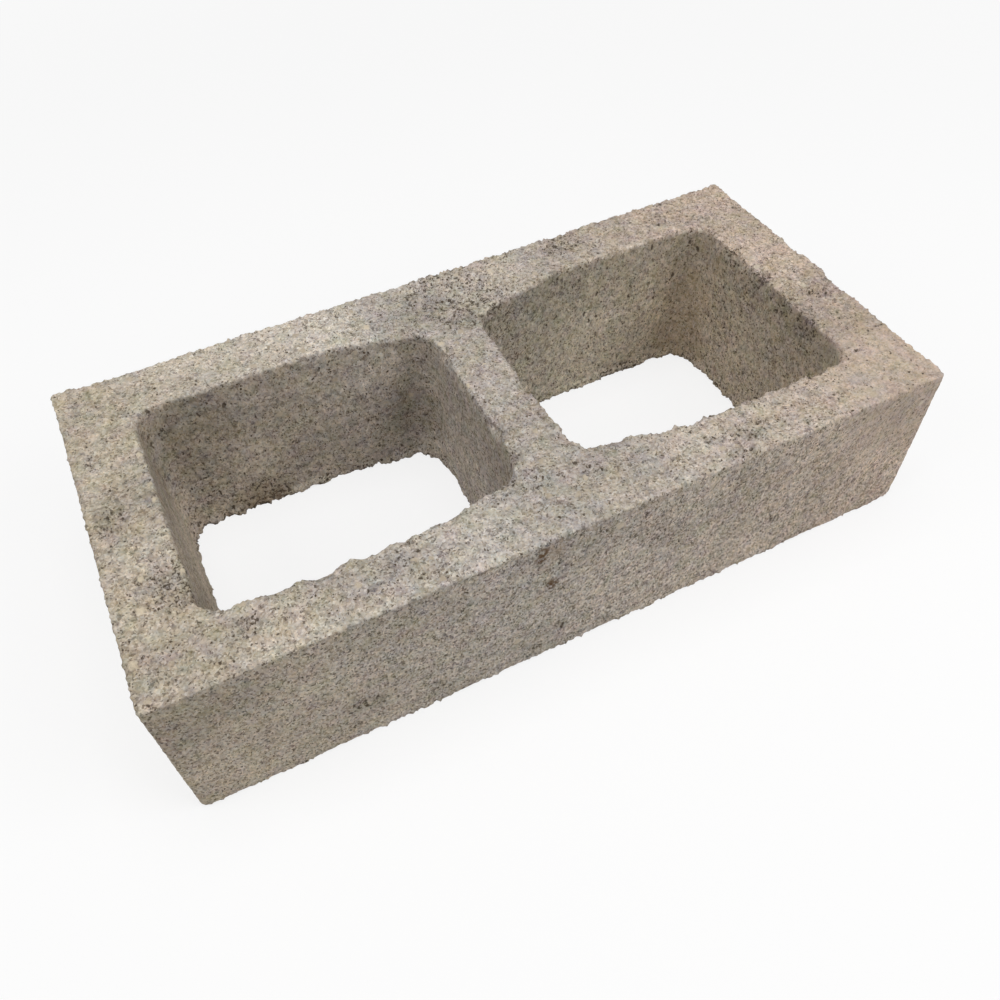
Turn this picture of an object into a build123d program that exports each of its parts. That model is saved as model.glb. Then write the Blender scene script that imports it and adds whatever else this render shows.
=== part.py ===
from build123d import *
import os

# Half-high hollow concrete block with two cores, cast as one piece.
# Millimetres, +X along the block, +Z up, origin at the middle of the underside.

# Outside of the block, as the mould box forms it
block_length = 396.9
block_width = 193.7
block_height = 92.1
corner_radius = 2.5  # upright corners
arris_radius = 1.2  # every edge of the top and the underside, core mouths included

# The cores narrow downwards, so each wall is thinnest at the top face
face_shell_top = 31.0
face_shell_bottom = 33.8
end_wall_top = 32.3
end_wall_bottom = 35.0
centre_web_top = 28.0
centre_web_bottom = 31.5

# The face shells thicken towards the centre web, more at the top than at the underside
flare_length = 58.0  # along the shell, from the web
flare_depth_top = 12.0
flare_depth_bottom = 6.0

# Rounding of a core's outline
end_corner_radius = 13.0
web_corner_radius = 14.0
flare_blend_radius = 60.0  # where the straight shell turns into its flare


def core_outline(level, face_shell, end_wall, centre_web, flare_depth):
    # Outline of the core on the +X side, at one level of the block
    web_face = centre_web / 2
    flare_start = web_face + flare_length
    end_face = block_length / 2 - end_wall
    wide = block_width / 2 - face_shell
    narrow = wide - flare_depth
    half_radii = [web_corner_radius, flare_blend_radius, end_corner_radius]
    with BuildSketch(Plane.XY.offset(level)) as outline:
        with BuildLine():
            FilletPolyline(
                (web_face, -narrow),
                (flare_start, -wide),
                (end_face, -wide),
                (end_face, wide),
                (flare_start, wide),
                (web_face, narrow),
                radius=half_radii + half_radii[::-1],
                close=True,
            )
        make_face()
    return outline.sketch


core_foot = core_outline(0, face_shell_bottom, end_wall_bottom, centre_web_bottom, flare_depth_bottom)
core_mouth = core_outline(block_height, face_shell_top, end_wall_top, centre_web_top, flare_depth_top)

# The tapered plug that leaves one core in the block
with BuildPart() as core:
    loft([core_foot, core_mouth], ruled=True)

# The block: a box less a core on each side of the centre web, with its edges eased
with BuildPart() as block:
    with BuildSketch(Plane.XY):
        RectangleRounded(block_length, block_width, corner_radius)
    extrude(amount=block_height)
    add(core.part, mode=Mode.SUBTRACT)
    mirror(core.part, about=Plane.YZ, mode=Mode.SUBTRACT)
    fillet(faces().filter_by(Axis.Z).edges(), arris_radius)

os.makedirs("parts", exist_ok=True)
block.part.label = "concrete_block"
export_step(block.part, "parts/concrete_block.step")
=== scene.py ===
import math

import bpy
import numpy as np
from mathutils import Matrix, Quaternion, Vector
from mathutils.bvhtree import BVHTree


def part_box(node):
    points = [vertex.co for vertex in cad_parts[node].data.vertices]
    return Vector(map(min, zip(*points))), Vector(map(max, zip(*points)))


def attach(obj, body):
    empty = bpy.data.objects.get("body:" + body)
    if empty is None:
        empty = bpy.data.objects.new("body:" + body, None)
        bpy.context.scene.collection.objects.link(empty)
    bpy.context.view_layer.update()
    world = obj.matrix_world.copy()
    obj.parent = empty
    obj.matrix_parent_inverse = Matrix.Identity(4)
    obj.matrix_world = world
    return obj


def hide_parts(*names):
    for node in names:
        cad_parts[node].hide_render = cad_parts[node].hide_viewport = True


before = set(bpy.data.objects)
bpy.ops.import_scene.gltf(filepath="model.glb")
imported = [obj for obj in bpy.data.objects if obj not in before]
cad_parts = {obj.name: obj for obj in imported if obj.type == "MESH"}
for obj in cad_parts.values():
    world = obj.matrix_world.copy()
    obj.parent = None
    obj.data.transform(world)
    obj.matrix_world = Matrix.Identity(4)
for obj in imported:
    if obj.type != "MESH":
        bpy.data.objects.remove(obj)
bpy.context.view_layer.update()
mm = 0.001  # everything below is in metres

blockNode = "concrete_block"
low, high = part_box(blockNode)
halfLength, halfWidth, blockTop = high.x, high.y, high.z
print("frame: block of", [round(side / mm, 1) for side in high - low], "mm")


class Flow:
    # one socket of a node tree: sums and products of flows add Math nodes
    def __init__(self, tree, socket=None):
        self.tree = tree
        self.socket = socket

    def node(self, kind, settings=None, sockets=None, out=0):
        made = self.tree.nodes.new(kind)
        for name, value in (settings or {}).items():
            if name == "stops":
                self.setStops(made.color_ramp.elements, value)
            else:
                setattr(made, name, value)
        for key, value in (sockets or {}).items():
            if isinstance(value, Flow):
                self.tree.links.new(value.socket, made.inputs[key])
            else:
                made.inputs[key].default_value = value
        return Flow(self.tree, made.outputs[out] if len(made.outputs) else None)

    def setStops(self, elements, stops):
        while len(elements) < len(stops):
            elements.new(1.0)
        for element, (position, colour) in zip(elements, stops):
            element.position = position
            element.color = colour

    def also(self, name):  # another output of the same node
        return Flow(self.tree, self.socket.node.outputs[name])

    def maths(self, operation, *terms):
        return self.node("ShaderNodeMath", {"operation": operation}, dict(enumerate(terms)))

    def __add__(self, other):
        return self.maths("ADD", self, other)

    def __radd__(self, other):
        return self.maths("ADD", other, self)

    def __sub__(self, other):
        return self.maths("SUBTRACT", self, other)

    def __rsub__(self, other):
        return self.maths("SUBTRACT", other, self)

    def __mul__(self, other):
        return self.maths("MULTIPLY", self, other)

    def __rmul__(self, other):
        return self.maths("MULTIPLY", other, self)

    def __truediv__(self, other):
        return self.maths("DIVIDE", self, other)

    def __lt__(self, other):
        return self.maths("LESS_THAN", self, other)

    def __abs__(self):
        return self.maths("ABSOLUTE", self)

    def most(self, other):
        return self.maths("MAXIMUM", self, other)

    def fade(self, start, end, toStart=0.0, toEnd=1.0):  # smooth step from start to end
        limits = {"Value": self, "From Min": start, "From Max": end, "To Min": toStart, "To Max": toEnd}
        return self.node("ShaderNodeMapRange", {"interpolation_type": "SMOOTHSTEP"}, limits)

    def upTo(self, limit, margins):  # smooth step over the margins below a limit
        return self.fade(limit - margins[0], limit - margins[1])

    def ramp(self, stops):
        return self.node("ShaderNodeValToRGB", {"stops": stops}, {"Fac": self})

    def vector(self, operation, *terms, out=0):
        inputs = dict(enumerate((self,) + terms))
        return self.node("ShaderNodeVectorMath", {"operation": operation}, inputs, out)

    def scaled(self, amount):
        return self.node("ShaderNodeVectorMath", {"operation": "SCALE"}, {"Vector": self, "Scale": amount})

    def split(self):
        parts = self.node("ShaderNodeSeparateXYZ", {}, {"Vector": self})
        return parts, parts.also("Y"), parts.also("Z")

    def noise(self, size, detail=2.0, out=0):  # self is a place, size the width of a blotch
        return self.node("ShaderNodeTexNoise", {}, {"Vector": self, "Scale": 1 / size, "Detail": detail}, out)

    def cells(self, size):
        return self.node("ShaderNodeTexVoronoi", {}, {"Vector": self, "Scale": 1 / size})

    def near(self, middle, radius, flat=0.4):  # 1 at the middle, 0 beyond the radius, self is a place
        return (self.vector("DISTANCE", middle, out=1) / radius).fade(1.0, flat)

    def blend(self, first, second):  # self is the share of the second colour
        return self.node("ShaderNodeMix", {"data_type": "RGBA"}, {0: self, 6: first, 7: second}, 2)


def spot(x, y, z):
    return (x * mm, y * mm, z * mm)


topLevel = blockTop / mm
frontLevel = -halfWidth / mm
white = (1, 1, 1, 1)

# where one kind of face goes over into the next
zoneEdges = {
    "shell": (12 * mm, 15 * mm),  # in from the outside, outer sides to core walls
    "topSkin": (3.2 * mm, 1.8 * mm),  # down from the top, walls to top face
    "arris": (2 * mm, 0.8 * mm), "arrisDepth": (0.6 * mm, 1.4 * mm),  # top edge, in and down
    "deep": (45 * mm, 5 * mm), "foot": (10 * mm, 1 * mm),  # heights
    "right": (0.0, 60 * mm),  # along the block, as are those of the outer sides' middle
    "fromLeft": (-140 * mm, -20 * mm), "fromRight": (180 * mm, 120 * mm),
}

# what is in the mix, and where the faces are open and coarse; shares are given zone by zone
mixDesign = {
    "pebbleCell": 6.5 * mm, "pebbleRadius": (0.9 * mm, 2.4 * mm),
    "pebbleShare": {"all": 0.03, "top": 0.34, "core": 0.1},
    "pitCell": 4.4 * mm, "pitRadius": (0.45 * mm, 1.3 * mm),
    "pitShare": {"all": 0.05, "coarse": 0.25, "top": 0.09, "core": 0.08, "rightCore": 0.14,
                 "sideMiddle": 0.05},
    "drag": 0.5, "sandDrag": 0.7,  # pits and sand on upright faces are drawn out along the height
    "voidSize": 2.0 * mm, "voidEdge": 0.03,  # irregular gaps between grains, where paste is short
    "voidLevel": {"all": 0.285, "coarse": 0.12, "top": 0.02, "core": 0.012, "deepCore": 0.04,
                  "foot": 0.05, "mould": 0.012},
    "pinholeCell": 1.7 * mm, "pinholeRadius": (0.35 * mm, 0.8 * mm),
    "speckCore": 0.6,  # share of a pebble's or a hole's radius within which it is full
    "raggedness": 1.2 * mm, "sandRaggedness": 0.45 * mm, "raggedSize": 1.8 * mm,
    "coarseBlotches": [(48 * mm, 0.54, 0.7), (15 * mm, 0.58, 0.8)],  # size, noise level and strength
    "coarseFull": 0.74,  # noise level at which a blotch has its full strength
    "coarseShare": {"all": 0.4, "top": 0.6, "core": 0.6},
    "patchBorder": (11 * mm, 1.3), "patchEdge": (1.05, 0.45),  # a patch's wandering border, and its fade
    "coarsePatches": [  # middle and radius of patches that are short of paste
        (spot(14, 78, topLevel), 38 * mm),
        (spot(88, 90, topLevel), 18 * mm),
        (spot(146, 80, topLevel), 9 * mm),
        (spot(187, -14, topLevel), 11 * mm),
        (spot(-190, 2, topLevel), 10 * mm),
        (spot(-172, -42, topLevel), 20 * mm),
        (spot(-150, -77, topLevel), 9 * mm),
        # the next four, just under the right core's rim on its right wall, make a darker band: coarse texture
        # and painted shadow of the lip
        (spot(167, 36, topLevel - 5), 10 * mm),
        (spot(167, 10, topLevel - 4), 9 * mm),
        (spot(167, -12, topLevel - 5), 10 * mm),
        (spot(167, -30, topLevel - 6), 10 * mm),
        (spot(-120, 63, 2), 22 * mm),
        (spot(-118, frontLevel, 30), 9 * mm),
        (spot(-110, frontLevel, 27), 6 * mm),
        (spot(-124, frontLevel, 13), 5 * mm),
        (spot(-81, frontLevel, 14), 5 * mm),
        (spot(-29, frontLevel, 11), 6 * mm),
        (spot(-15, frontLevel, 22), 5 * mm),
        (spot(108, frontLevel, 30), 5 * mm),
    ],
    "stones": [  # single larger stones that show on the top face
        (spot(-186.3, -50.6, topLevel), 3.2 * mm), (spot(-166.2, -39.1, topLevel), 2.6 * mm),
        (spot(-183.1, -34.5, topLevel), 2.0 * mm), (spot(-194.7, -74.5, topLevel), 2.6 * mm),
        (spot(-167.7, 36.5, topLevel), 1.9 * mm), (spot(-167.2, 27.5, topLevel), 1.6 * mm),
        (spot(-167.4, 15.7, topLevel), 1.8 * mm), (spot(-167.7, 6.4, topLevel), 2.0 * mm),
        (spot(-41.0, 71.3, topLevel), 2.8 * mm), (spot(37.3, 83.9, topLevel), 2.4 * mm),
        (spot(-11.3, 41.2, topLevel), 2.2 * mm), (spot(-12.4, 6.9, topLevel), 1.8 * mm),
        (spot(1.3, 16.5, topLevel), 1.6 * mm),
    ],
}


def zones(place):
    # how far a place counts as top face, as core wall, as moulded outer side and as low on the block
    x, y, z = place.split()
    edges = zoneEdges
    inside = abs(x).upTo(halfLength, edges["shell"]) * abs(y).upTo(halfWidth, edges["shell"])
    upper = z.upTo(blockTop, edges["topSkin"])
    outer = abs(x).upTo(halfLength, edges["arris"]).most(abs(y).upTo(halfWidth, edges["arris"]))
    top = upper * (1 - outer * z.upTo(blockTop, edges["arrisDepth"]))
    core = inside * (1 - top)
    mould = (1 - inside) * (1 - top)
    middle = x.fade(*edges["fromLeft"]) * x.fade(*edges["fromRight"])
    return {"all": 1.0, "x": x, "y": y, "z": z, "top": top, "upper": upper, "inside": inside,
            "core": core, "rightCore": core * x.fade(*edges["right"]),
            "deepCore": core * z.fade(*edges["deep"]), "foot": z.fade(*edges["foot"]),
            "mould": mould, "sideMiddle": mould * middle}


def shareOf(zone, amounts):
    # adds up what each zone gives at a place
    share = 0.0
    for name, amount in amounts.items():
        share = zone[name] * amount + share
    return share


def specks(place, cell, share, radius, shrink=1.0):
    # ragged specks in some of the cells: how far inside one, and a random number for each
    cells = place.cells(cell)
    shows, size, tint = cells.also("Color").split()
    reach = (size * ((radius[1] - radius[0]) / cell) + radius[0] / cell) * shrink
    inside = (cells / reach).fade(1.0, mixDesign["speckCore"]) * (shows < share)
    return inside, tint


def mixFields(place):
    # the same stones, pits and coarse patches for the shape and for the colour
    design = mixDesign
    zone = zones(place)
    jitter = place.noise(design["raggedSize"], 1.0, 1).vector("SUBTRACT", (0.5, 0.5, 0.5))
    ragged = place.vector("ADD", jitter.scaled(2 * design["raggedness"]))
    loose = place.vector("ADD", jitter.scaled(2 * design["sandRaggedness"]))
    coarse = 0.0
    for size, level, strength in design["coarseBlotches"]:
        coarse = place.noise(size).fade(level, design["coarseFull"], 0.0, strength).most(coarse)
    coarse = coarse * shareOf(zone, design["coarseShare"])
    borderSize, borderWander = design["patchBorder"]
    border = (place.noise(borderSize) - 0.5) * borderWander
    for middle, radius in design["coarsePatches"]:
        reach = place.vector("DISTANCE", middle, out=1) / radius + border
        coarse = coarse.most(reach.fade(*design["patchEdge"]))
    zone["coarse"] = coarse
    pebbleShare = shareOf(zone, design["pebbleShare"])
    pebble, pebbleTint = specks(ragged, design["pebbleCell"], pebbleShare, design["pebbleRadius"])
    stone = 0.0
    for middle, radius in design["stones"]:
        stone = ragged.near(middle, radius).most(stone)
    dragged = ragged.vector("MULTIPLY", (1.0, 1.0, design["drag"]))
    pit = specks(dragged, design["pitCell"], shareOf(zone, design["pitShare"]), design["pitRadius"])[0]
    gap = place.noise(design["voidSize"]) - shareOf(zone, design["voidLevel"])
    pit = pit.most(gap.fade(design["voidEdge"], -design["voidEdge"]))
    return {"zone": zone, "coarse": coarse, "pebble": pebble, "pebbleTint": pebbleTint, "stone": stone,
            "pit": pit * (1 - pebble.most(stone)), "ragged": ragged,
            "loose": loose.vector("MULTIPLY", (1.0, 1.0, design["sandDrag"]))}


castShape = {
    "voxel": 0.62 * mm, "triangles": 197000,
    "wearSteps": 8, "biteSteps": 110,
    "edgeLean": (0.05 * mm, 0.3 * mm),  # a place that smoothing pulls this far counts as an edge
    "arrisWear": (-0.6, 0.9),  # along the top, and where the mix crumbles; below 0 the edge is crisper
    "mouthWear": (-0.3, 1.2),
    "crispArris": -0.5, "softArris": 1.6,  # front top edge, crisp but for its right end
    "arrisBand": (8 * mm, 2 * mm), "softFrom": 60 * mm, "softTo": halfLength - 10 * mm,
    "edgeGrain": 4.0 * mm, "frontCalm": 0.65,  # raggedness of the edges, less along the front top edge
    "cornerBand": (5 * mm, 2 * mm), "cornerCalm": (0.5, 0.6),  # upright edges: less ragged, straighter
    "crumble": 12 * mm, "crumbLevels": (0.42, 0.66),  # size, and noise levels where the mix crumbles
    "grain": 2.8 * mm, "grainLevel": 0.46, "fineGrain": 1.5 * mm, "fineEdge": 0.7,
    "wander": (25 * mm, 3.0 * mm),  # length and reach of edges that run a little out of line
    "mouthBite": (0.3, 1.4 * mm), "footBite": (0.6, 3.2 * mm),  # share that stays level, and reach
    "mouthDepth": (15 * mm, 2 * mm), "breakSize": 8 * mm, "breakLevels": (0.4, 0.72),
    "biteSlope": 0.5, "biteStrength": 1.1, "rimBlur": (0.01, 0.2),
    "frontMouth": (0.0, -50 * mm), "backMouth": 0.4,  # across the block, and the share of bites at the back
    "leftFoot": (-15 * mm, -40 * mm), "backFoot": (30 * mm, 55 * mm), "otherFoot": 0.45,
    "bites": [  # middle, radius and depth where a core's rim has broken away, below 0 where it sticks out
        (spot(-133, -66, topLevel), 8 * mm, 1.8 * mm), (spot(-126, -66, topLevel), 6 * mm, 0.8 * mm),
        (spot(-116, -66, topLevel), 7.5 * mm, 3.2 * mm), (spot(-107, -66, topLevel), 7 * mm, 0.6 * mm),
        (spot(-93, -66, topLevel), 9 * mm, 1.4 * mm), (spot(-74, -66, topLevel), 11 * mm, 0.8 * mm),
        (spot(-66, -65, topLevel), 7 * mm, 0.8 * mm), (spot(-55, -63, topLevel), 14 * mm, 2.1 * mm),
        (spot(-38, -59, topLevel), 22 * mm, 1.6 * mm), (spot(-24, -54, topLevel), 13 * mm, 2.0 * mm),
        (spot(20, -56, topLevel), 9 * mm, 1.6 * mm), (spot(40, -60, topLevel), 26 * mm, 0.7 * mm),
        (spot(53, -63, topLevel), 10 * mm, 0.9 * mm), (spot(69, -66, topLevel), 8 * mm, 1.8 * mm),
        (spot(86, -66, topLevel), 8 * mm, 0.9 * mm), (spot(-14, 0, topLevel), 45 * mm, 0.6 * mm),
        (spot(14, 0, topLevel), 45 * mm, 0.7 * mm), (spot(-14, -26, topLevel), 11 * mm, 2.8 * mm),
        (spot(-14, -46, topLevel), 9 * mm, 2.4 * mm), (spot(14, -7, topLevel), 9 * mm, 2.2 * mm),
        (spot(-14, 32, topLevel), 11 * mm, 2.2 * mm), (spot(167, 20, topLevel), 42 * mm, 1.6 * mm),
        (spot(158, 57, 0), 22 * mm, -1.6 * mm), (spot(95, 63, 0), 90 * mm, -0.6 * mm),
        (spot(-160, 59, 0), 10 * mm, -1.6 * mm), (spot(-20, 53, 0), 14 * mm, -2.4 * mm),
        (spot(-15, 26, 0), 12 * mm, 1.2 * mm),
    ],
    "lumps": [  # middle, radius and height of lumps on an outer edge
        (spot(197, 0, topLevel), 7 * mm, 1.3 * mm), (spot(197, 10, topLevel), 6 * mm, 1.0 * mm),
    ],
    "corners": [  # middle, radius and wear of a corner that is sharper or rounder than the rest
        (spot(-197, 95, topLevel), 14 * mm, -2.2), (spot(197, -95, topLevel), 14 * mm, -2.2),
        (spot(197, -95, 0), 16 * mm, 2.2), (spot(-197, -95, 0), 10 * mm, 1.0),
    ],
    "pebbleHeight": 0.5 * mm, "stoneHeight": 0.7 * mm, "pitDepth": 1.4 * mm, "coarseSink": 0.4 * mm,
    "pebbleRise": {"all": 0.2, "up": 0.8}, "pitSink": {"all": 0.25, "up": 0.7, "coreWall": 0.15},
    "roughSize": 6 * mm, "grainRough": 0.5,
    "topRough": 1.4 * mm, "coarseRough": 1.6 * mm, "mouldRough": 0.3 * mm, "coreRough": 0.9 * mm,
}


def castSkin():
    # geometry nodes that wear the edges and roughen the faces of the cast block
    tree = bpy.data.node_groups.new("castSkin", "GeometryNodeTree")
    tree.interface.new_socket("Geometry", in_out="INPUT", socket_type="NodeSocketGeometry")
    tree.interface.new_socket("Geometry", in_out="OUTPUT", socket_type="NodeSocketGeometry")
    start = Flow(tree)
    shape = start.node("NodeGroupInput")
    place = start.node("GeometryNodeInputPosition")
    normal = start.node("GeometryNodeInputNormal")
    fields = mixFields(place)
    zone = fields["zone"]
    inside = zone["inside"]
    facing = normal.split()[2]
    up = facing.fade(0.5, 0.9)
    down = facing.fade(-0.5, -0.9)
    wall = 1 - up - down
    turned = {"all": 1.0, "up": up, "coreWall": inside * wall}

    def blurred(value, steps):
        return start.node("GeometryNodeBlurAttribute", {"data_type": "FLOAT_VECTOR"},
                          {"Value": value, "Iterations": steps})

    # edges go part of the way to a smoothed copy, more where the mix crumbled, and grain by grain
    crumbs = place.noise(castShape["crumble"]).fade(*castShape["crumbLevels"])
    grain = place.noise(castShape["grain"]) - castShape["grainLevel"]
    fineGrain = place.noise(castShape["fineGrain"], 1.0) - 0.5
    lean = blurred(place, castShape["wearSteps"]).vector("SUBTRACT", place)
    edge = lean.vector("LENGTH", out=1).fade(*castShape["edgeLean"])
    softNormal = blurred(normal, castShape["wearSteps"])
    wear = 0.0
    for arris, mouth, field in zip(castShape["arrisWear"], castShape["mouthWear"], (zone["upper"], crumbs)):
        wear = (inside * (mouth - arris) + arris) * field + wear
    frontArris = (zone["y"] + halfWidth).fade(*castShape["arrisBand"]) * zone["upper"]
    soft = zone["x"].fade(castShape["softFrom"], castShape["softTo"]) * castShape["softArris"]
    wear = wear + frontArris * (soft + castShape["crispArris"])
    for middle, radius, amount in castShape["corners"]:
        wear = wear + place.near(middle, radius) * amount
    upright = abs(zone["x"]).upTo(halfLength, castShape["cornerBand"]) * (1 - zone["upper"])
    upright = upright * abs(zone["y"]).upTo(halfWidth, castShape["cornerBand"])
    smoother, straighter = castShape["cornerCalm"]
    jagged = fields["coarse"] + 1 - frontArris * castShape["frontCalm"] - upright * smoother
    wanderLength, wanderReach = castShape["wander"]
    wander = (place.noise(wanderLength) - 0.5) * wanderReach * (1 - inside) * (1 - upright * straighter)
    retreat = edge * ((grain + fineGrain * castShape["fineEdge"]) * jagged * castShape["edgeGrain"] + wander)
    shift = lean.scaled(wear).vector("SUBTRACT", softNormal.scaled(retreat))

    # the rims of the cores crumble away on the slant, most along the mouths' front and the left back foot
    slant = blurred(normal, castShape["biteSteps"])
    rim = (1 - slant.vector("LENGTH", out=1)).fade(*castShape["rimBlur"]) * inside
    front = zone["y"].fade(*castShape["frontMouth"], castShape["backMouth"], 1.0)
    leftBack = zone["x"].fade(*castShape["leftFoot"]) * zone["y"].fade(*castShape["backFoot"])
    leftBack = leftBack * (1 - castShape["otherFoot"]) + castShape["otherFoot"]
    nearMouth = zone["z"].upTo(blockTop, castShape["mouthDepth"])
    broken = place.noise(castShape["breakSize"], 3.0).fade(*castShape["breakLevels"])
    bite = 0.0
    for (level, reach), share in ((castShape["mouthBite"], nearMouth * front),
                                  (castShape["footBite"], zone["foot"] * leftBack)):
        bite = (broken - level) * reach * share + bite
    for middle, radius, depth in castShape["bites"]:
        bite = bite + place.near(middle, radius, 0.0) * depth
    inwards = slant.vector("MULTIPLY", (1.0, 1.0, castShape["biteSlope"])).vector("NORMALIZE")
    shift = shift.vector("SUBTRACT", inwards.scaled(bite * rim * castShape["biteStrength"]))
    lump = 0.0
    for middle, radius, height in castShape["lumps"]:
        lump = place.near(middle, radius) * height + lump
    shift = shift.vector("ADD", softNormal.scaled(lump))

    # faces: stones stand out a little, pits and missing paste go in
    rough = place.noise(castShape["roughSize"], 3.0) - 0.5
    amount = up * (castShape["topRough"] + fields["coarse"] * castShape["coarseRough"])
    moulded = inside * (castShape["coreRough"] - castShape["mouldRough"]) + castShape["mouldRough"]
    relief = (rough + (grain + fineGrain) * castShape["grainRough"]) * amount + rough * wall * moulded
    relief = relief + fields["pebble"] * castShape["pebbleHeight"] * shareOf(turned, castShape["pebbleRise"])
    relief = relief + fields["stone"] * castShape["stoneHeight"]
    relief = relief - fields["pit"] * castShape["pitDepth"] * shareOf(turned, castShape["pitSink"])
    relief = relief - up * fields["coarse"] * castShape["coarseSink"]
    relief = relief - down * abs(rough) * castShape["coreRough"]
    shift = shift.vector("ADD", normal.scaled(relief))
    moved = start.node("GeometryNodeSetPosition", {}, {"Geometry": shape, "Offset": shift})
    start.node("NodeGroupOutput", {}, {0: moved})
    return tree


def settle(piece):
    # fixes what the modifiers made into the mesh
    made = bpy.data.meshes.new_from_object(piece.evaluated_get(bpy.context.evaluated_depsgraph_get()))
    piece.modifiers.clear()
    piece.data = made
    return made


def placesOf(mesh):
    places = np.zeros(len(mesh.vertices) * 3, np.float32)
    mesh.vertices.foreach_get("co", places)
    return places.reshape(-1, 3)


# flat layout of the faces on one square sheet, for the baked colours
atlas = {
    "side": 600 * mm, "gap": 4 * mm, "edge": 1 * mm,
    "coreStart": 13 * mm, "coreSpan": 154 * mm,  # along the block, from its middle
    "shell": 15 * mm,  # a wall that lies further in than this is a core's
}


def atlasCharts():
    # for each face: where its chart starts on the sheet, the axes along u and v, and where those begin
    gap = atlas["gap"]
    length, width, height = 2 * halfLength, 2 * halfWidth, blockTop
    aside, core, far = length + gap, atlas["coreStart"], -atlas["coreStart"] - atlas["coreSpan"]
    charts = {
        "+z": ((0, 0), (0, 1), (-halfLength, -halfWidth)),
        "-z": ((0, width + gap), (0, 1), (-halfLength, -halfWidth)),
        "-y": ((0, 2 * (width + gap)), (0, 2), (-halfLength, 0)),
        "+y": ((0, 2 * (width + gap) + height + gap), (0, 2), (-halfLength, 0)),
        "-x": ((aside, 0), (1, 2), (-halfWidth, 0)),
        "+x": ((aside, height + gap), (1, 2), (-halfWidth, 0)),
    }
    for row, (side, begin) in enumerate((("right", core), ("left", far))):
        rise = 2 * (height + gap) + row * (atlas["coreSpan"] + gap)
        charts[side + "+y"] = ((aside, rise), (2, 0), (0, begin))
        charts[side + "-y"] = ((aside + height + gap, rise), (2, 0), (0, begin))
        hole = begin + atlas["coreSpan"] / 2 + halfLength  # middle of the core on the top's own chart
        for level, facing in enumerate(("+x", "-x")):
            middle = halfWidth + level * (width + gap)
            charts[side + facing] = ((hole - halfWidth, middle - height / 2), (1, 2), (-halfWidth, 0))
    return charts


def layOut(mesh, cadMesh):
    # each triangle goes to the chart of the CAD face that is nearest to it
    corners = np.zeros(len(mesh.loops), np.int32)
    mesh.loops.foreach_get("vertex_index", corners)
    triangles = placesOf(mesh)[corners].reshape(-1, 3, 3)
    middles = triangles.mean(axis=1)
    nearest = BVHTree.FromPolygons([v.co for v in cadMesh.vertices], [p.vertices for p in cadMesh.polygons])
    facings = np.array([nearest.find_nearest(middle)[1] for middle in middles])
    axis = np.abs(facings).argmax(axis=1)
    positive = np.take_along_axis(facings, axis[:, None], axis=1)[:, 0] > 0
    inner = np.array((halfLength, halfWidth)) - atlas["shell"]
    within = (np.abs(middles[:, :2]) < inner).all(axis=1) & (axis < 2)
    places2d = np.zeros((len(middles), 3, 2), np.float32)
    for name, (corner, axes, begin) in atlasCharts().items():
        member = (axis == "xyz".index(name[-1])) & (positive == (name[-2] == "+"))
        inCore = name[:-2] != ""
        member &= within == inCore
        if inCore:
            member &= (middles[:, 0] > 0) == name.startswith("right")
        for way in (0, 1):
            places2d[member, :, way] = triangles[member][:, :, axes[way]] - begin[way] + corner[way]
    places2d = np.clip((places2d + atlas["edge"]) / atlas["side"], 0.0, 1.0)
    sheet = mesh.uv_layers.new(name="OFBake")
    sheet.data.foreach_set("uv", places2d.ravel())


def castBlock():
    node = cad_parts[blockNode]
    block = bpy.data.objects.new("block_casting", node.data.copy())
    bpy.context.scene.collection.objects.link(block)
    remesh = block.modifiers.new("evenGrid", "REMESH")
    remesh.mode = "VOXEL"
    remesh.voxel_size = castShape["voxel"]
    skin = block.modifiers.new("castSkin", "NODES")
    skin.node_group = castSkin()
    mesh = settle(block)
    triangles = len(mesh.loops) - 2 * len(mesh.polygons)
    print("block skin:", triangles, "triangles before thinning")
    thin = block.modifiers.new("thin", "DECIMATE")
    thin.ratio = castShape["triangles"] / triangles
    thin.use_collapse_triangulate = True
    mesh = settle(block)
    places = placesOf(mesh)
    places[:, 2] = np.maximum(places[:, 2], 0)  # nothing goes through the floor
    mesh.vertices.foreach_set("co", places.ravel())
    mesh.polygons.foreach_set("use_smooth", np.ones(len(mesh.polygons), bool))
    mesh.update()
    print("block casting:", len(mesh.polygons), "triangles")
    layOut(mesh, node.data)
    print("block casting: laid out on its sheet")
    return block


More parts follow.
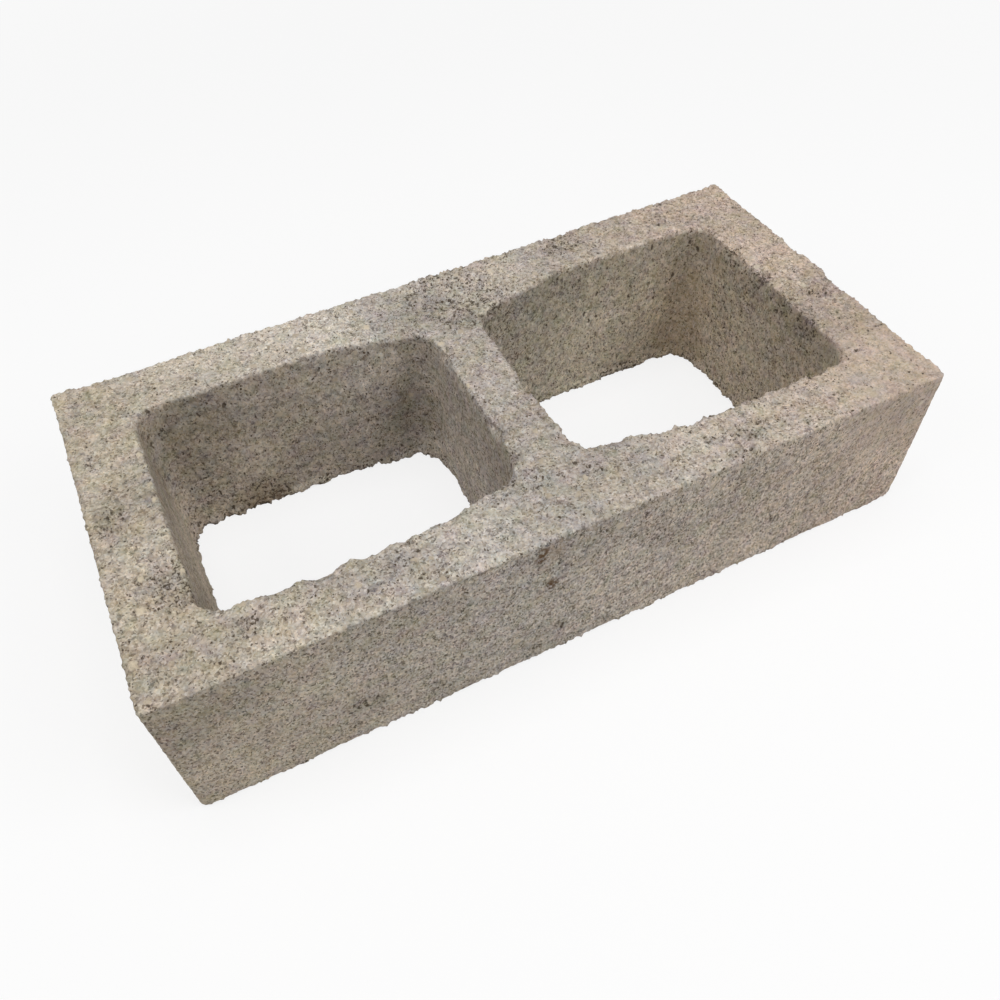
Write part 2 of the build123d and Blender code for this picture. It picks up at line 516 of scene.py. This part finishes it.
concreteLook = {
    "paste": (0.500, 0.430, 0.350, 1),
    "blueGrey": (0.345, 0.335, 0.335, 1),  # soft blotches in the paste
    "blotchSize": 24 * mm, "blotchLevels": (0.54, 0.72), "blotchCover": 0.5,
    # yellowish at the left end, greyer in the middle, pinkish at the right end
    "hueAlong": [(0.0, (1.0, 0.985, 0.94, 1)), (0.4, (0.97, 1.0, 1.05, 1)), (0.7, (1.01, 1.0, 1.01, 1)),
                 (1.0, (1.06, 0.985, 0.97, 1))],
    "topTint": (1.02, 1.035, 1.05, 1), "topTintEnd": (150 * mm, 60 * mm),  # the top, but for its right end
    "grainTints": [(0.0, (1.04, 1.0, 0.94, 1)), (1.0, (0.96, 1.0, 1.06, 1))],
    "hueDrift": (0.08, 0.05, 0.12), "driftSize": 8 * mm,
    "stones": [(0.0, (0.42, 0.34, 0.25, 1)), (0.5, (0.62, 0.53, 0.40, 1)), (1.0, (0.72, 0.64, 0.52, 1))],
    "cream": (0.70, 0.60, 0.44, 1), "stoneCover": 0.75,
    "sand": [(0.0, (0.09, 0.066, 0.048, 1)), (0.2, (0.34, 0.285, 0.225, 1)), (0.55, (0.485, 0.42, 0.345, 1)),
             (0.85, (0.61, 0.535, 0.45, 1)), (1.0, (0.73, 0.665, 0.575, 1))],
    "fineGrain": 0.8 * mm, "fineShare": 0.64,
    "middleGrain": 1.7 * mm, "middleShare": 0.48, "middleCells": 0.4,  # cells that hold a grain
    "grit": 0.12,  # extra contrast of the fine sand on upright faces
    "coreGrit": 0.8, "sideGrit": (0.5, 1.8), "gritAlong": (-150 * mm, -50 * mm),  # times that, left to right
    "dullSand": 0.3, "paleSand": (0.5, 0.9),  # on upright faces paste covers part of the palest sand
    "mottle": (4 * mm, 0.15),  # size and strength
    "mould": (0.16, -0.1, 0.2),  # on the outer sides: more fine sand, less middle sand, calmer mottling
    "plainLeft": (-20 * mm, -140 * mm),  # these sides are plainer towards their left
    "plain": (0.14, 0.4, 0.3),  # there: less middle sand, mottling and pores
    "smoothCorner": (spot(190, -90, topLevel), 70 * mm),
    "smooth": (0.3, 0.99, 0.6),  # there: less sand, grit and pores
    "olive": (0.470, 0.450, 0.325, 1), "oliveCover": 0.85,  # the right core's walls
    "toneSize": 42 * mm, "toneRange": (0.9, 1.1), "mouldTone": 1.09,
    "tonePatches": [  # middle, radius and shade of paler and darker stretches
        (spot(-110, 84, topLevel), 90 * mm, 1.2), (spot(30, 90, topLevel), 50 * mm, 1.16),
        (spot(187, -28, topLevel), 44 * mm, 0.86), (spot(-8, 50, topLevel), 40 * mm, 0.93),
        (spot(4, -32, topLevel), 44 * mm, 0.87), (spot(-168, 12, topLevel), 30 * mm, 0.86),
        (spot(190, 78, topLevel), 30 * mm, 1.12), (spot(132, 86, topLevel), 32 * mm, 0.92),
        (spot(22, -88, topLevel), 40 * mm, 0.9), (spot(-153, 64, 67), 50 * mm, 0.8),
        (spot(-180, -60, topLevel), 45 * mm, 0.96), (spot(-112, 64, 42), 65 * mm, 0.86),
        # the first patch on the next line darkens the left core's back corner by the web: painted shade
        (spot(-26, 55, 35), 28 * mm, 0.76), (spot(-42, 60, 74), 26 * mm, 1.2),
        (spot(105, 64, 55), 60 * mm, 1.16), (spot(-190, frontLevel, 85), 45 * mm, 0.83),
        (spot(165, 62, 40), 40 * mm, 1.15), (spot(80, 86, topLevel), 45 * mm, 0.94),
        (spot(180, frontLevel, 15), 55 * mm, 1.05),
    ],
    "wallLightHeights": (10 * mm, 90 * mm),
    "wallLightAndShade": {"core": (1.17, 0.94), "mould": (1.03, 0.95)},  # low and high on the walls: painted light and shade, paler low down as if lit by bounce light from the floor, darker high up
    "frontStrip": 0.09, "stripWidth": (16 * mm, 3 * mm),  # the top is paler along the left of its front edge
    "stripEnd": (60 * mm, -20 * mm),
    # coarse patches are darker; in the band under the right core's rim this is painted shadow of the lip
    "coarseShade": 0.86,
    # pits, voids and pinholes are coloured dark: painted shade in the holes, over the carved pits and on flat
    # pinholes
    "pit": (0.075, 0.055, 0.038, 1), "pitShadeCover": 0.85,
    "pinhole": (0.095, 0.070, 0.048, 1), "poreShare": {"all": 0.05, "coarse": 0.3, "swarm": 0.8},
    "swarmSize": 7 * mm, "swarmLevels": (0.36, 0.62),  # pores lie in swarms
    "sideSwarm": 0.75, "finerPores": 0.25,  # on the outer sides nearly everywhere, and smaller
    "poreShadeCover": (0.6, 1.0),
    "closed": 0.45,  # fewer pores at the left back
    "closedAlong": (-50 * mm, -160 * mm), "closedAcross": (-40 * mm, 20 * mm),
    "brownTint": {"colour": (0.33, 0.23, 0.13, 1), "cover": 0.35, "spots": [
        (spot(-20, frontLevel, 84), 9 * mm), (spot(163, 58, 46), 26 * mm),
        (spot(157, 58, 16), 26 * mm), (spot(-118, 63, 4), 20 * mm)]},
    "rust": {"colour": (0.115, 0.062, 0.028, 1), "cover": 0.9, "spots": [
        (spot(-26, frontLevel, 86.5), 4.5 * mm), (spot(-27, frontLevel, 82), 4.0 * mm),
        (spot(-21.2, frontLevel, 59.5), 5 * mm), (spot(-47.3, 64.4, 84), 6 * mm)]},
    "markGrain": 2 * mm, "markLevels": (0.36, 0.52),
    "bumpSize": 1.1 * mm, "bumpStrength": 0.7, "bumpHeight": 0.6 * mm, "sideBump": 0.5,
    "roughness": 0.93, "specular": 0.2,
}


def concrete():
    material = bpy.data.materials.new("blockConcrete")
    material.use_nodes = True
    tree = material.node_tree
    tree.nodes.clear()
    start = Flow(tree)
    look = concreteLook
    place = start.node("ShaderNodeTexCoord").also("Object")
    fields = mixFields(place)
    zone, coarse, loose = fields["zone"], fields["coarse"], fields["loose"]

    # paste, in soft blotches
    along = zone["x"] / (2 * halfLength) + 0.5
    blotches = place.noise(look["blotchSize"], 3.0).fade(*look["blotchLevels"]) * look["blotchCover"]
    colour = blotches.blend(look["paste"], look["blueGrey"])
    colour = (zone["rightCore"] * look["oliveCover"]).blend(colour, look["olive"])
    tone = place.noise(look["toneSize"], 3.0).fade(0.3, 0.7, *look["toneRange"])
    tone = tone * (coarse * (look["coarseShade"] - 1) + 1)
    for middle, radius, shade in look["tonePatches"]:
        tone = tone * (place.near(middle, radius) * (shade - 1) + 1)
    tone = tone * (zone["mould"] * (look["mouldTone"] - 1) + 1)
    # painted light and shade on the walls: paler low down, darker high up
    for name, (foot, head) in look["wallLightAndShade"].items():
        tone = tone * (zone[name] * zone["z"].fade(*look["wallLightHeights"], foot - 1, head - 1) + 1)
    strip = zone["top"] * (zone["y"] + halfWidth).fade(*look["stripWidth"])
    tone = tone * (strip * zone["x"].fade(*look["stripEnd"]) * look["frontStrip"] + 1)

    # sand of two sizes, each grain of its own shade
    fineShade, fineTint = loose.cells(look["fineGrain"]).also("Color").split()[:2]
    shows, midShade = loose.cells(look["middleGrain"]).also("Color").split()[:2]
    moreFine, moreMiddle, calm = [zone["mould"] * amount for amount in look["mould"]]
    plain = zone["mould"] * zone["x"].fade(*look["plainLeft"])
    lessMiddle, lessMottle, lessPores = [plain * amount for amount in look["plain"]]
    smooth = place.near(*look["smoothCorner"])
    lessSand, lessGrit, fewPores = [smooth * amount for amount in look["smooth"]]
    covered = fineShade.fade(*look["paleSand"]) * (1 - zone["top"]) * look["dullSand"]
    colour = (moreFine - lessSand - covered + look["fineShare"]).blend(colour, fineShade.ramp(look["sand"]))
    midShare = (shows < look["middleCells"]) * (moreMiddle - lessSand - lessMiddle + look["middleShare"])
    colour = midShare.blend(colour, midShade.ramp(look["sand"]))
    colour = colour.vector("MULTIPLY", fineTint.ramp(look["grainTints"]))
    colour = colour.vector("MULTIPLY", along.ramp(look["hueAlong"]))
    topShare = zone["top"] * zone["x"].fade(*look["topTintEnd"])
    colour = colour.vector("MULTIPLY", topShare.blend(white, look["topTint"]))
    mottleSize, amount = look["mottle"]
    mottle = place.noise(mottleSize, 3.0).fade(0.25, 0.75, -amount, amount) * (1 - calm - lessMottle)
    gritty = zone["mould"] * zone["x"].fade(*look["gritAlong"], *look["sideGrit"])
    gritty = gritty + zone["core"] * look["coreGrit"]
    grit = (fineShade - 0.5) * gritty * (1 - lessGrit) * look["grit"]
    colour = colour.scaled(tone * (mottle + grit + 1))
    drift = place.noise(look["driftSize"], 2.0, 1).vector("SUBTRACT", (0.5, 0.5, 0.5))
    colour = colour.vector("ADD", drift.vector("MULTIPLY", look["hueDrift"]))

    # stones, pits and pinholes
    pebbleColour = fields["pebbleTint"].ramp(look["stones"])
    colour = (fields["pebble"] * look["stoneCover"]).blend(colour, pebbleColour)
    colour = (fields["stone"] * look["stoneCover"]).blend(colour, look["cream"])
    solid = fields["pebble"].most(fields["stone"])
    swarm = place.noise(look["swarmSize"]).fade(*look["swarmLevels"])
    zone["swarm"] = swarm.most(zone["mould"] * look["sideSwarm"])
    closed = zone["x"].fade(*look["closedAlong"]) * zone["y"].fade(*look["closedAcross"]) * look["closed"]
    poreShare = shareOf(zone, look["poreShare"]) * (1 - closed - fewPores - lessPores)
    finer = 1 - zone["mould"] * look["finerPores"]
    pinhole, depth = specks(fields["ragged"], mixDesign["pinholeCell"], poreShare,
                            mixDesign["pinholeRadius"], finer)
    # the dark colour in pinholes and pits is painted shade in the holes
    poreShadeCover = pinhole * (1 - solid) * depth.fade(0.0, 0.8, *look["poreShadeCover"])
    colour = poreShadeCover.blend(colour, look["pinhole"])
    colour = (fields["pit"] * look["pitShadeCover"]).blend(colour, look["pit"])

    # brown tints and rust marks
    patchy = place.noise(look["markGrain"]).fade(*look["markLevels"])
    for mark in (look["brownTint"], look["rust"]):
        for middle, radius in mark["spots"]:
            cover = place.near(middle, radius) * patchy * mark["cover"]
            colour = cover.blend(colour, mark["colour"])

    bump = start.node("ShaderNodeBump", {}, {
        "Strength": look["bumpStrength"], "Distance": look["bumpHeight"],
        "Height": place.noise(look["bumpSize"]) * (1 - zone["mould"] * look["sideBump"])})
    shader = start.node("ShaderNodeBsdfPrincipled", {}, {
        "Base Color": colour, "Roughness": look["roughness"], "Normal": bump,
        "Specular IOR Level": look["specular"]})
    start.node("ShaderNodeOutputMaterial", {}, {"Surface": shader})
    return material


studio = {
    "floorSize": 8.0, "floorColour": (0.6, 0.6, 0.6, 1), "seenColour": (0.95, 0.95, 0.95, 1),
    "floorGlow": (0.78, 1.0), "glowReach": (0.4, 1.6),  # near the block and far from it
    "skyStrength": 0.3,
    "lamps": {  # place, width and power of each softbox
        "overheadSoftbox": ((0.0, 0.0, 1.4), 0.8, 6.1),
        "frontSoftbox": ((0.7, -0.7, 0.9), 0.8, 6.2),
        "leftSoftbox": ((-1.0, 0.0, 0.9), 0.8, 4.0),
    },
}


def seenRays(start):
    # 1 where the camera sees a surface, straight or by reflection, and 0 where it only lights the block
    rays = start.node("ShaderNodeLightPath")
    return rays.most(rays.also("Is Glossy Ray")).most(rays.also("Is Transmission Ray"))


def makeStudio():
    floorMesh = bpy.data.meshes.new("floor")
    side = studio["floorSize"] / 2
    corners = [(-side, -side, 0), (side, -side, 0), (side, side, 0), (-side, side, 0)]
    floorMesh.from_pydata(corners, [], [(0, 1, 2, 3)])
    floor = bpy.data.objects.new("floor", floorMesh)
    bpy.context.scene.collection.objects.link(floor)
    material = bpy.data.materials.new("paleFloor")
    material.use_nodes = True
    material.node_tree.nodes.clear()
    start = Flow(material.node_tree)
    seen = seenRays(start)
    floorColour = seen.blend(studio["floorColour"], studio["seenColour"])
    matt = start.node("ShaderNodeBsdfDiffuse", {}, {"Color": floorColour})
    glow = start.node("ShaderNodeEmission", {}, {"Color": white})
    away = start.node("ShaderNodeTexCoord").also("Object").vector("LENGTH", out=1)
    share = seen * away.fade(*studio["glowReach"], *studio["floorGlow"])
    both = start.node("ShaderNodeMixShader", {}, {0: share, 1: matt, 2: glow})
    start.node("ShaderNodeOutputMaterial", {}, {"Surface": both})
    floorMesh.materials.append(material)

    world = bpy.data.worlds.new("softRoom")
    world.use_nodes = True
    world.node_tree.nodes.clear()
    bpy.context.scene.world = world
    start = Flow(world.node_tree)
    strength = seenRays(start) * (1 - studio["skyStrength"]) + studio["skyStrength"]
    sky = start.node("ShaderNodeBackground", {}, {"Color": white, "Strength": strength})
    start.node("ShaderNodeOutputWorld", {}, {"Surface": sky})

    for name, (lampPlace, width, power) in studio["lamps"].items():
        lampData = bpy.data.lights.new(name, "AREA")
        lampData.size = width
        lampData.energy = power
        lamp = bpy.data.objects.new(name, lampData)
        lamp.location = lampPlace
        lamp.rotation_mode = "QUATERNION"
        lamp.rotation_quaternion = (-Vector(lampPlace)).to_track_quat("-Z", "Y")  # towards the block
        bpy.context.scene.collection.objects.link(lamp)
    print("studio: floor, soft room and", len(studio["lamps"]), "softboxes")


viewpoint = {
    "place": (-0.1394, -0.2980, 0.4021), "target": (0.0009, 0.0026, 0.0),
    "roll": -2.09, "lens": 32.77, "sensor": 36.0, "nearest": 0.01,
}


def makeCamera():
    data = bpy.data.cameras.new("photoView")
    data.lens = viewpoint["lens"]
    data.sensor_width = viewpoint["sensor"]
    data.clip_start = viewpoint["nearest"]
    camera = bpy.data.objects.new("photoView", data)
    camera.location = viewpoint["place"]
    look = (Vector(viewpoint["target"]) - camera.location).to_track_quat("-Z", "Y")
    camera.rotation_mode = "QUATERNION"
    camera.rotation_quaternion = look @ Quaternion((0, 0, 1), math.radians(viewpoint["roll"]))
    bpy.context.scene.collection.objects.link(camera)
    bpy.context.scene.camera = camera
    print("camera: at the photograph's viewpoint")


bpy.context.scene.view_settings.view_transform = "Standard"
block = castBlock()
block.data.materials.clear()
block.data.materials.append(concrete())
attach(block, "root")
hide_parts(blockNode)
makeStudio()
makeCamera()
